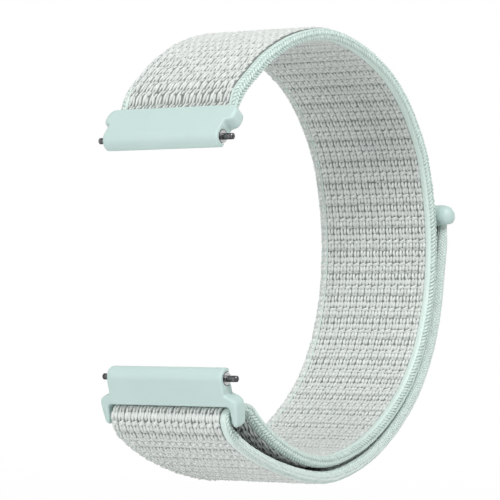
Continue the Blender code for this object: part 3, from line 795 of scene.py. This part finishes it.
def loop_strands(start, end):
    """The pile of the loop side: leaning loops with slits between, and a finer pile."""
    end = min(end, tape_end - hook_length - pile_end_gap)
    if end <= start:
        return None
    rows = np.arange(math.floor(start / loop_pitch) - 1, math.ceil(end / loop_pitch) + 2)
    row, rib = each_of(rows * loop_pitch, ribs())
    kinds = [
        # offset across, along; length, width, height, tilt, tone, taper
        (-0.34, 0.0, 1.66, 0.29, 0.23, 0.12, 0.92, 0.20),
        (-0.06, 0.55, 1.62, 0.29, 0.29, 0.18, 0.96, -0.15),
        (0.22, -0.10, 1.60, 0.29, 0.23, 0.12, 0.92, 0.10),
        (0.46, 0.92, 0.72, 0.26, 0.21, 0.62, 0.88, 0.0),
    ]
    parts = []
    for across, along, length, width, height, tilt, tone, taper in kinds:
        s = row + along * mm
        keep = (s >= start) & (s < end) & (rib + across * mm > -web_half - selvedge)
        jitter = chance.normal(0, 1, (6, keep.sum()))
        parts.append(strands(loop_surface, rib[keep] + across * mm + 0.03 * mm * jitter[0],
                             s[keep] + 0.07 * mm * jitter[1],
                             length * mm * (1 + 0.06 * jitter[2]),
                             width * mm * (1 + 0.07 * jitter[3]),
                             height * mm * (1 + 0.09 * jitter[4]),
                             tilt + 0.07 * jitter[5], 0.0, tone, taper))
    return joined(parts)


def cord(side, start, end, pitch, under, columns):
    """One stitched edge: a smooth core, and columns of stitches round its outside."""
    surface = cord_surface(side)
    step = 0.5 * mm
    margin = 0.35 * mm
    smooth_tone = 0.92
    s = stations(start, end, step)[:, None]
    a = np.linspace(0, cord_run[-1], 22)[None, :]
    stitched = (a > columns[0][0] * mm - margin) & (a < columns[-1][0] * mm + margin)
    # Painted shade: the core is darker under the stitches, where it shows in the gaps between them
    core = swept(surface(a, s, 0.0 * a * s), np.where(stitched, under, smooth_tone) + 0 * s)
    parts = [core]
    places = np.arange(math.floor(start / pitch), math.ceil(end / pitch) + 1) * pitch
    for across, length, width, height, tilt, offset in columns:
        s = places + offset * pitch
        s = s[(s >= start) & (s < end)]
        jitter = chance.normal(0, 1, (4, len(s)))
        parts.append(strands(surface, across * mm + 0.02 * mm * jitter[3], s, length * mm,
                             width * mm * (1 + 0.07 * jitter[0]),
                             height * mm * (1 + 0.12 * jitter[1]),
                             tilt + 0.08 * jitter[2], 0.0, 1.0))
    return joined(parts)


# Pitch of the stitches, tone of the core under them, darker as painted shade in the gaps between
# stitches, and their columns
ring_stitches = (0.56 * mm, 0.30, [
    # place round the cord, length, width, height, tilt, stagger
    (1.50, 1.26, 0.45, 0.22, -0.80, 0.0),
    (2.28, 1.12, 0.44, 0.19, 0.90, 0.5),
    (2.98, 1.00, 0.42, 0.14, -0.92, 0.0),
])
tail_stitches = (0.42 * mm, 0.50, [
    (1.05, 0.88, 0.36, 0.12, -0.90, 0.0),
    (1.58, 0.88, 0.36, 0.13, 0.90, 0.5),
    (2.12, 0.88, 0.36, 0.13, -0.90, 0.0),
    (2.66, 0.88, 0.36, 0.13, 0.90, 0.5),
    (3.15, 0.88, 0.36, 0.12, -0.90, 0.0),
])


def at(s):
    return tuple(on_path(0.0, s, 0.0))


# The dressed band's lengths: their start and end, the bodies that carry them, the places
# between which they bend, and the CAD's nodes that they replace
tucked = 0.25 * mm
lengths = [
    ("crown", 0.0, crown_split, ("upper_end", "band_rear")),
    ("rear", crown_split, rear_split, ("band_rear",)),
    ("tail_lower", rear_split, tail_split, ("band_rear", "tail_middle")),
    ("tail_upper", tail_split, band_end - tucked, ("tail_middle", "tail_end")),
]
crown_bend = 22 * mm
tail_root_bend = 4 * mm
tail_bend = 5 * mm
bends = {
    "crown": (at(flex_place - crown_bend), at(flex_place + crown_bend)),
    "tail_lower": (at(tail_root_place - tail_root_bend), at(tail_root_place + tail_root_bend)),
    "tail_upper": (at(tail_bend_place - tail_bend), at(tail_bend_place + tail_bend)),
}
replaced = {
    "crown": ("band_top",),
    "rear": ("band_rear", "band_fold"),
    "tail_lower": ("tail_middle",),
    "tail_upper": ("tail_end",),
}


def carry(made, bodies):
    """Bakes the transform into a piece that two bodies share, or lets it ride on one."""
    if len(bodies) == 2:
        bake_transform(made)
    else:
        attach(made, bodies[0])


for word, start, end, bodies in lengths:
    web = as_object(word + "_ground", ground(start, end), gap_shade_yarn)
    carry(web, bodies)
    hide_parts(*[node + "_web" for node in replaced[word]])
    for kind, build in (("skin_weave", skin_strands), ("loop_pile", loop_strands)):
        data = build(start, end)
        if data is None:
            continue
        made = as_object(f"{word}_{kind}", data, pale_yarn)
        carry(made, bodies)
    for side, hand in ((-1, "left"), (1, "right")):
        stitches = tail_stitches if word.startswith("tail") else ring_stitches
        made = as_object(f"{word}_{hand}_edge_cord", cord(side, start, end, *stitches),
                         tail_yarn if word.startswith("tail") else mint_yarn)
        carry(made, bodies)
        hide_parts(*[f"{node}_{hand}_edge" for node in replaced[word]])


# Hook tape

# The tape stands off the thin web. Its hooks are in rows along it and columns across
tape_height = 0.16 * mm
tape_gap = 0.1 * mm
tape_step = 0.8 * mm
tape_columns = 12
tape_tone = 0.75
hook_row_pitch = 0.95 * mm
hook_column_pitch = 0.75 * mm
first_hook = 0.5 * mm
last_hook = 0.4 * mm
hook_sides = 5
hook_steps = 6
hook_reach = 0.10 * mm
hook_sink = 0.04 * mm


def hook_rings():
    """One hook's rings of points: places across, along, and out from the tape's foot."""
    turn = np.radians(np.linspace(0, 200, hook_steps))
    centre_s = np.concatenate([[0], hook_reach * (1 - np.cos(turn))])
    centre_n = np.concatenate([[tape_height - hook_sink],
                               tape_height + hook_reach + hook_reach * np.sin(turn)])
    wide = np.concatenate([[0.075], np.linspace(0.07, 0.04, hook_steps)]) * mm
    ds = np.gradient(centre_s)
    dn = np.gradient(centre_n)
    size = np.hypot(ds, dn)
    around = 2 * math.pi * np.arange(hook_sides) / hook_sides
    out = wide[:, None] * np.sin(around)[None]
    return (wide[:, None] * np.cos(around)[None],
            centre_s[:, None] - (dn / size)[:, None] * out,
            centre_n[:, None] + (ds / size)[:, None] * out)


def hook_tape():
    """A thin tape with rows of small curved hooks that face the ring."""
    half = band_width / 2 - edge_cord_width - hook_margin
    start = tape_end - hook_length
    foot = tongue_thickness / 2 + tape_gap
    s = stations(start, tape_end, tape_step)[:, None]
    across = np.linspace(-half, half, tape_columns)[None, :]
    low = on_path(across, s, foot + 0 * across)
    top = on_path(across, s, foot + tape_height + 0 * across)
    loops = np.concatenate([top, low[:, ::-1]], axis=1)
    tape = swept(loops, np.full(loops.shape[:2], tape_tone))
    place, a = each_of(np.arange(start + first_hook, tape_end - last_hook, hook_row_pitch),
                       np.arange(-half + first_hook, half - last_hook, hook_column_pitch))
    ring_x, ring_s, ring_n = hook_rings()
    points = on_path(a[:, None, None] + ring_x[None], place[:, None, None] + ring_s[None],
                     foot + ring_n[None])
    count, rings = len(a), hook_steps + 1
    points = points.reshape(count, -1, 3)
    last = hook_steps * hook_sides
    tris = [(0, k + 1, k) for k in range(1, hook_sides - 1)]
    tris += [(last, last + k, last + k + 1) for k in range(1, hook_sides - 1)]
    quads, tris = facing_out(points[0] - points[0].mean(axis=0),
                             np.array(tube_quads(rings, hook_sides)), np.array(tris))
    size = rings * hook_sides
    base = (np.arange(count) * size)[:, None, None]
    uv = np.stack([np.arange(size) / size, np.arange(size) % hook_sides / hook_sides], axis=1)
    hooks = {"points": points.reshape(-1, 3),
             "faces": [(base + quads[None]).reshape(-1, 4), (base + tris[None]).reshape(-1, 3)],
             # Painted shade: each hook's tone rises from its foot on the tape to its tip
             "tone": np.tile(np.linspace(0.6, 1.0, rings).repeat(hook_sides), count),
             "lone": chance.random((count, 1)).repeat(size, axis=1).ravel(),
             "uv": np.tile(uv, (count, 1))}
    return joined([tape, hooks])


hooks = as_object("hook_tape", hook_tape(), hook_nylon)
carry(hooks, ("tail_middle", "tail_end"))
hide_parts("hook_patch")


# Moulded parts: the CAD solids with soft edges

# Where a barrel ends and a lobe begins, how far each grows outwards as it is relaxed, and how
# much thicker and longer the loop adapter's lobes get about the middle of their thickness
barrel_end = 9.9 * mm
end_growth = 0.16 * mm
end_fade_start = 0.5 * mm
end_fade = 0.4 * mm
lobe_growth = 0.22 * mm
lobe_start = 0.15 * mm
lobe_fade = 0.3 * mm
lobe_bulge = 0.42 * mm
lobe_middle = 10.95 * mm
lobe_half = 0.5 * mm
lobe_inward = 0.7
lobe_drop = 0.30 * mm
voxel = 0.11 * mm
soft_rounds = 10
kept_share = 0.5


def relax(mesh, end_rounds):
    """Averages neighbouring points, more in the lobes, and gives the ends their reach back."""
    count = len(mesh.vertices)
    points = np.empty(count * 3)
    mesh.vertices.foreach_get("co", points)
    points = points.reshape(-1, 3)
    edges = np.empty(len(mesh.edges) * 2, np.int32)
    mesh.edges.foreach_get("vertices", edges)
    a, b = edges.reshape(-1, 2).T
    near = np.bincount(a, minlength=count) + np.bincount(b, minlength=count)
    out = np.abs(points[:, :1])
    at_end = eased((out - barrel_end + end_fade_start) / end_fade)
    lobe = eased((out - barrel_end - lobe_start) / lobe_fade)
    for k in range(max(soft_rounds, end_rounds)):
        middle = np.stack([np.bincount(a, points[b, i], count) + np.bincount(b, points[a, i], count)
                           for i in range(3)], axis=1) / near[:, None]
        share = 0.5 * (lobe if k >= soft_rounds else np.ones_like(lobe))
        points = points + share * (middle - points)
    points[:, :1] += np.sign(points[:, :1]) * (at_end * end_growth + lobe * lobe_growth)
    return points, out, lobe


def fill_lobes(points, out, lobe):
    """Makes the loop adapter's lobes thicker half way down, and longer."""
    tips = points[lobe[:, 0] > 0.9, 2]
    height = np.clip((points[:, 2:] - tips.min()) / (tips.max() - tips.min()), 0, 1)
    arch = np.sqrt(1 - (2 * height - 1) ** 2)
    thicker = np.clip((out - lobe_middle) / lobe_half, -lobe_inward, 1)
    points[:, :1] += np.sign(points[:, :1]) * lobe * lobe_bulge * arch * thicker
    points[:, 2:] -= lobe * lobe_drop * (1 - height) ** 2


def take_modifiers(made):
    """Replaces an object's mesh by what its modifiers make of it."""
    bpy.context.view_layer.update()
    graph = bpy.context.evaluated_depsgraph_get()
    mesh = bpy.data.meshes.new_from_object(made.evaluated_get(graph))
    made.modifiers.clear()
    made.data = mesh
    return mesh


def softened(node, end_rounds):
    """A copy of a CAD solid, remeshed finely and relaxed so that its edges turn soft."""
    made = nodes[node].copy()
    made.data = nodes[node].data.copy()
    for key in list(made.keys()):
        del made[key]
    made.parent = None
    made.name = made.data.name = "moulded_" + node
    bpy.context.scene.collection.objects.link(made)
    work = bmesh.new()
    work.from_mesh(made.data)
    bmesh.ops.remove_doubles(work, verts=work.verts, dist=1e-6)
    work.to_mesh(made.data)
    work.free()
    step = made.modifiers.new("remesh", "REMESH")
    step.mode = "VOXEL"
    step.voxel_size = voxel
    step.use_smooth_shade = True
    mesh = take_modifiers(made)
    points, out, lobe = relax(mesh, end_rounds)
    if node == "loop_adapter":
        fill_lobes(points, out, lobe)
    mesh.vertices.foreach_set("co", points.ravel())
    mesh.update()
    step = made.modifiers.new("fewer", "DECIMATE")
    step.ratio = kept_share
    mesh = take_modifiers(made)
    mesh.shade_smooth()
    mesh.materials.clear()
    mesh.materials.append(mint_plastic)
    return made


for node, body, end_rounds in (("fixed_adapter", "upper_end", 60),
                               ("loop_adapter", "loop_end", 34), ("end_bead", "tail_end", 10)):
    made = softened(node, end_rounds)
    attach(made, body)
    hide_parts(node)


# Spring bars keep their CAD solids, but for the coils, which on the real bars shorten as the
# plungers slide: they become copies with meshes of their own

for name, node in nodes.items():
    if "_bar_" in name:
        node.data.materials.clear()
        node.data.materials.append(bright_steel)

for word, body in (("upper_bar", "upper_end"), ("lower_bar", "loop_end")):
    coil = bpy.data.objects.new(word + "_coil", nodes[word + "_spring"].data.copy())
    coil.matrix_world = nodes[word + "_spring"].matrix_world.copy()
    bpy.context.scene.collection.objects.link(coil)
    coil.data.materials.clear()
    coil.data.materials.append(coil_steel)
    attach(coil, body)
    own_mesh(coil)
    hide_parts(word + "_spring")


# Stage

def link_greatest(tree, target, *words):
    """Links the greatest of some Light Path outputs to a socket."""
    rays = tree.nodes.new("ShaderNodeLightPath")
    source = rays.outputs[words[0]]
    for word in words[1:]:
        either = tree.nodes.new("ShaderNodeMath")
        either.operation = "MAXIMUM"
        tree.links.new(source, either.inputs[0])
        tree.links.new(rays.outputs[word], either.inputs[1])
        source = either.outputs[0]
    tree.links.new(source, target)


seen_rays = ("Is Camera Ray", "Is Glossy Ray", "Is Transmission Ray")
floor_grey = 0.94
floor_drop = 13.5 * mm
floor_reach = 3.0
near_share = 0.93
fade_places = (0.06, 0.35)
world_level = 0.235


def pale_surface(name):
    """A pale matt surface that stays near white where the camera and gloss see it."""
    made = bpy.data.materials.new(name)
    made.use_nodes = True
    tree = made.node_tree
    tree.nodes.clear()
    out = tree.nodes.new("ShaderNodeOutputMaterial")
    mix = tree.nodes.new("ShaderNodeMixShader")
    plain = tree.nodes.new("ShaderNodeBsdfDiffuse")
    plain.inputs["Color"].default_value = (floor_grey, floor_grey, floor_grey, 1)
    white = tree.nodes.new("ShaderNodeEmission")
    white.inputs["Strength"].default_value = 1.0
    share = tree.nodes.new("ShaderNodeMath")
    share.operation = "MULTIPLY"
    place = tree.nodes.new("ShaderNodeTexCoord")
    away = tree.nodes.new("ShaderNodeVectorMath")
    away.operation = "LENGTH"
    fade = tree.nodes.new("ShaderNodeMapRange")
    for key, value in (("From Min", fade_places[0]), ("From Max", fade_places[1]),
                       ("To Min", near_share), ("To Max", 1.0)):
        fade.inputs[key].default_value = value
    tree.links.new(place.outputs["Object"], away.inputs[0])
    tree.links.new(away.outputs["Value"], fade.inputs["Value"])
    link_greatest(tree, share.inputs[0], *seen_rays)
    tree.links.new(fade.outputs["Result"], share.inputs[1])
    tree.links.new(share.outputs[0], mix.inputs[0])
    tree.links.new(plain.outputs[0], mix.inputs[1])
    tree.links.new(white.outputs[0], mix.inputs[2])
    tree.links.new(mix.outputs[0], out.inputs["Surface"])
    return made


def floor():
    """A wide plane below the reach of the peeled tail."""
    level = cad_low.z - floor_drop
    points = np.array([(x * floor_reach, y * floor_reach, level)
                       for x, y in ((-1, -1), (1, -1), (1, 1), (-1, 1))])
    made = new_mesh("floor", points, [np.array([(0, 1, 2, 3)])], smooth=False)
    made.data.materials.append(pale_surface("pale_floor"))


def lamp(name, place, size, power):
    """A round softbox that faces the strap."""
    light = bpy.data.lights.new(name, "AREA")
    light.shape = "DISK"
    light.size = size
    light.energy = power
    made = bpy.data.objects.new(name, light)
    made.location = place
    aim = Vector((0, 0.02, -0.015)) - Vector(place)
    made.rotation_euler = aim.to_track_quat("-Z", "Y").to_euler()
    bpy.context.scene.collection.objects.link(made)


def studio_world():
    """Low even light on the strap, and white where the camera and gloss look past it."""
    world = bpy.data.worlds.new("studio")
    bpy.context.scene.world = world
    world.use_nodes = True
    tree = world.node_tree
    back = tree.nodes["Background"]
    back.inputs["Color"].default_value = (1, 1, 1, 1)
    level = tree.nodes.new("ShaderNodeMapRange")
    level.inputs["To Min"].default_value = world_level
    level.inputs["To Max"].default_value = 1.0
    link_greatest(tree, level.inputs["Value"], *seen_rays)
    tree.links.new(level.outputs["Result"], back.inputs["Strength"])


floor()
lamp("front_softbox", (-0.05, -0.60, 0.04), 0.40, 1.80)
lamp("right_softbox", (0.36, -0.20, 0.48), 0.30, 2.40)
lamp("rear_softbox", (0.42, 0.12, 0.42), 0.30, 0.50)
lamp("back_softbox", (-0.10, 0.62, 0.08), 0.40, 1.20)
studio_world()

# Camera at the photograph's viewing angle
eye = bpy.data.cameras.new("camera")
eye.lens = 227.4
eye.sensor_width = 36
eye.shift_y = 0.01
eye.clip_start = 0.01
camera = bpy.data.objects.new("camera", eye)
azimuth, elevation = math.radians(37), math.radians(-0.8)
target = Vector((0, 0.0193, -0.0158))
distance = 0.450
backward = Vector((math.sin(azimuth) * math.cos(elevation),
                   -math.cos(azimuth) * math.cos(elevation), math.sin(elevation)))
camera.location = target + backward * distance
camera.rotation_euler = backward.to_track_quat("Z", "Y").to_euler()
bpy.context.scene.collection.objects.link(camera)
bpy.context.scene.camera = camera
bpy.context.scene.view_settings.view_transform = "Standard"
